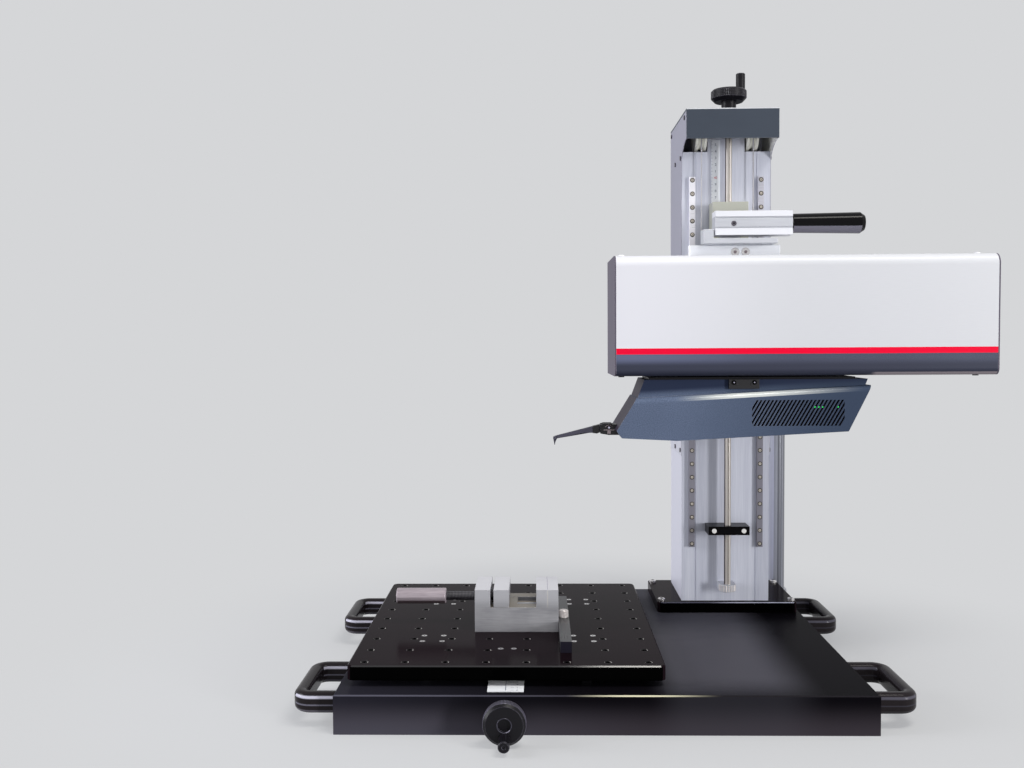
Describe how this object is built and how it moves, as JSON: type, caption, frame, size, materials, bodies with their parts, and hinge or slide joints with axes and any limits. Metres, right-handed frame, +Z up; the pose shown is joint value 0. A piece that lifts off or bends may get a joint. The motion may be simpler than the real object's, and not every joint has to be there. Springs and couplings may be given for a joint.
{
  "type": "surface roughness tester",
  "caption": "Bench surface roughness tester: hole table with vice on a base plate, column with crank lift, tilting drive unit and stylus probe.",
  "frame": {"origin": "centre of the base plate's underside, which lies on the bench", "axes": "+Z up, +X to the right along the base's long side, +Y to the back"},
  "size_m": [0.908, 0.6308, 0.8668],
  "materials": {
    "black_anodised": "satin black anodised",
    "black_steel": "black oxide",
    "silver_profile": "satin anodised",
    "side_sheet": "painted, satin",
    "dark_sheet": "painted, satin",
    "bright_steel": "ground",
    "rail_white": "ground",
    "grey_steel": "blued",
    "light_aluminium": "satin",
    "white_plate": "matt",
    "grip_black": "glossy",
    "cream_plastic": "matt",
    "ivory_plastic": "matt",
    "rope_steel": "stranded",
    "cast_weight": "raw",
    "unit_dark": "satin",
    "unit_panel": "brushed",
    "stripe_red": "glossy",
    "end_grey": "satin",
    "probe_blue": "metallic paint",
    "black_plastic": "satin",
    "lamp_green": "glossy",
    "tip_steel": "ground"
  },
  "bodies": {
    "stand": {"base_plate": "black_anodised", "feed_scale": "white_plate", "handle_front_left": "grip_black", "handle_front_right": "grip_black", "handle_rear_left": "grip_black", "handle_rear_right": "grip_black", "column_foot": "black_anodised", "foot_screws": "bright_steel", "column_profile": "silver_profile", "column_side_plates": "side_sheet", "column_cap": "dark_sheet", "guide_rails": "rail_white", "column_screws": "bright_steel", "column_scale": "white_plate", "limit_block": "black_steel", "screw_bearings": "light_aluminium", "pulley_axle": "bright_steel", "rope_bends": "rope_steel", "front_ropes": "rope_steel", "back_ropes": "rope_steel", "rear_post": "bright_steel", "post_holders": "light_aluminium", "table_rails": "bright_steel"},
    "rope_pulleys": {"pulleys": "ivory_plastic"},
    "counterweight": {"counterweight": "cast_weight"},
    "carriage": {"carriage_plate": "light_aluminium", "carriage_blocks": "light_aluminium", "lift_nut": "cream_plastic", "tilt_flange": "light_aluminium", "lever_bracket": "light_aluminium"},
    "lift_screw": {"lift_screw": "bright_steel", "lift_handwheel": "black_steel"},
    "lift_crank_grip": {"lift_crank_grip": "grip_black"},
    "release_lever": {"lever_bar": "light_aluminium", "lever_grip": "grip_black"},
    "drive_unit": {"unit_housing": "unit_dark", "unit_cover": "unit_panel", "trim_stripe": "stripe_red", "end_caps": "end_grey", "edge_screws": "bright_steel"},
    "probe": {"probe_slide": "black_steel", "probe_housing": "probe_blue", "status_lamps": "lamp_green", "probe_lock_plate": "black_plastic", "stylus_fork": "black_plastic"},
    "stylus": {"stylus_arm": "light_aluminium", "stylus_tip": "tip_steel"},
    "table": {"hole_table": "black_anodised", "table_screws": "bright_steel", "table_blocks": "bright_steel", "vice_body": "grey_steel", "stop_rail": "black_anodised"},
    "vice_jaw": {"vice_jaw": "grey_steel"},
    "vice_screw": {"vice_screw": "black_steel", "vice_handle": "light_aluminium"},
    "stop_thumbscrew": {"stop_thumbscrew": "bright_steel"},
    "feed_screw": {"feed_screw": "bright_steel", "feed_handwheel": "black_steel"},
    "feed_crank_grip": {"feed_crank_grip": "grip_black"}
  },
  "joints": [
    {"name": "carriage_lift", "type": "slide", "parent": "stand", "child": "carriage", "axis": [0, 0, 1], "range_m": [-0.15, 0.075], "deforming": ["front_ropes"]},
    {"name": "counterweight_slide", "type": "slide", "parent": "stand", "child": "counterweight", "axis": [0, 0, 1], "range_m": [-0.0751, 0.1501], "deforming": ["back_ropes"]},
    {"name": "pulley_spin", "type": "hinge", "parent": "stand", "child": "rope_pulleys", "pos_m": [0.211, 0.134, 0.78], "axis": [1, 0, 0], "range_deg": [-200, 400]},
    {"name": "lift_screw_spin", "type": "hinge", "parent": "stand", "child": "lift_screw", "pos_m": [0.211, 0.103, 0.82], "axis": [0, 0, 1], "range_deg": [-5401, 10801]},
    {"name": "lift_grip_spin", "type": "hinge", "parent": "lift_screw", "child": "lift_crank_grip", "pos_m": [0.2285, 0.103, 0.85], "axis": [0, 0, 1], "continuous": true},
    {"name": "release_lever_lift", "type": "hinge", "parent": "carriage", "child": "release_lever", "pos_m": [0.204, 0.035, 0.635], "axis": [0, -1, 0], "range_deg": [0, 8]},
    {"name": "unit_tilt", "type": "hinge", "parent": "carriage", "child": "drive_unit", "pos_m": [0.211, 0.033, 0.501], "axis": [0, 1, 0], "range_deg": [-10, 15]},
    {"name": "probe_traverse", "type": "slide", "parent": "drive_unit", "child": "probe", "axis": [1, 0, 0], "range_m": [0, 0.14]},
    {"name": "stylus_swing", "type": "hinge", "parent": "probe", "child": "stylus", "pos_m": [0.0192, -0.05, 0.3495], "axis": [0, 1, 0], "range_deg": [-6, 6], "stiffness_Nm_per_rad": 1},
    {"name": "table_feed", "type": "slide", "parent": "stand", "child": "table", "axis": [0, 1, 0], "range_m": [-0.02, 0.06]},
    {"name": "feed_screw_spin", "type": "hinge", "parent": "stand", "child": "feed_screw", "pos_m": [-0.119, -0.3, 0.028], "axis": [0, 1, 0], "range_deg": [-5401, 1801]},
    {"name": "feed_grip_spin", "type": "hinge", "parent": "feed_screw", "child": "feed_crank_grip", "pos_m": [-0.119, -0.322, 0.012], "axis": [0, 1, 0], "continuous": true},
    {"name": "vice_jaw_slide", "type": "slide", "parent": "table", "child": "vice_jaw", "axis": [1, 0, 0], "range_m": [-0.004, 0.036]},
    {"name": "vice_screw_spin", "type": "hinge", "parent": "vice_jaw", "child": "vice_screw", "pos_m": [-0.2, -0.047, 0.114], "axis": [1, 0, 0], "range_deg": [-361, 3241]},
    {"name": "stop_thumbscrew_spin", "type": "hinge", "parent": "table", "child": "stop_thumbscrew", "pos_m": [-0.04395, -0.065, 0.095], "axis": [0, 0, 1], "range_deg": [0, 360]}
  ],
  "couplings": [
    {"joint": "counterweight_slide", "follows": "carriage_lift", "ratio": -1},
    {"joint": "pulley_spin", "follows": "carriage_lift", "rad_per_m": -46.296},
    {"joint": "lift_screw_spin", "follows": "carriage_lift", "rad_per_m": -1256.6},
    {"joint": "feed_screw_spin", "follows": "table_feed", "rad_per_m": -1570.8},
    {"joint": "vice_screw_spin", "follows": "vice_jaw_slide", "rad_per_m": 1570.8}
  ]
}
